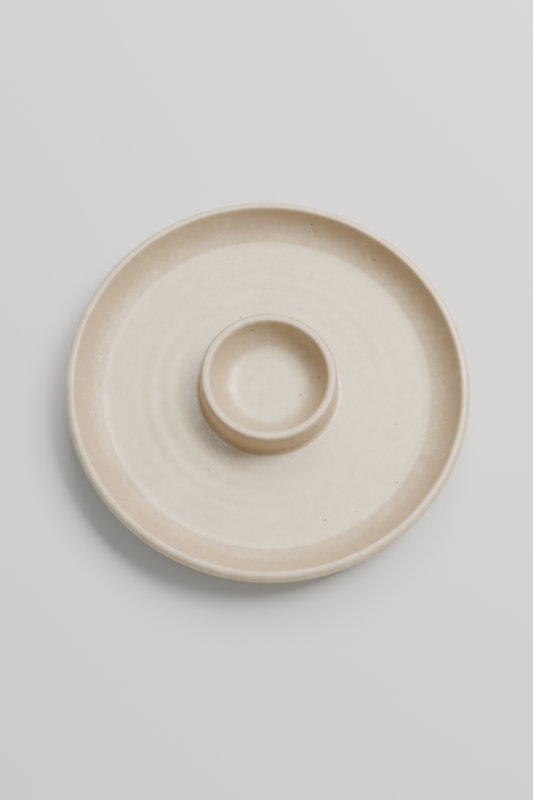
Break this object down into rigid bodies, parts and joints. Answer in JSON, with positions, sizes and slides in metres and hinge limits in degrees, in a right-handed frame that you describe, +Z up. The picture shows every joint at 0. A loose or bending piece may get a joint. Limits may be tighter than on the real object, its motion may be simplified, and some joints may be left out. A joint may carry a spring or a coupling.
{
  "type": "chip and dip server",
  "caption": "Round stoneware serving plate with a raised wall and a small dip cup fixed to the middle of its floor, on a turned foot ring.",
  "frame": {"origin": "middle of the foot ring's underside, the face that stands on the table", "axes": "+Z up along the wheel axis of the plate and the cup; +X and +Y are any two level directions, as the object is the same all round"},
  "size_m": [0.25, 0.25, 0.0325],
  "materials": {
    "plate_glaze": "satin cream-beige glaze over speckled buff stoneware, thin and toasty on edges and walls, thick and pale on the floor; bare clay on the foot ring's underside",
    "cup_glaze": "the same satin cream-beige glaze, pale where it pools in the bowl, toasty on the wall",
    "fired_slip": "bare fired buff slip, hidden in the joint",
    "coil_glaze": "satin cream-beige glaze run over a sponged fillet, with a pale sugary edge where it pools"
  },
  "bodies": {
    "root": {"plate": "plate_glaze", "dip_cup": "cup_glaze", "slip_bed": "fired_slip", "foot_coil": "coil_glaze"}
  },
  "joints": []
}
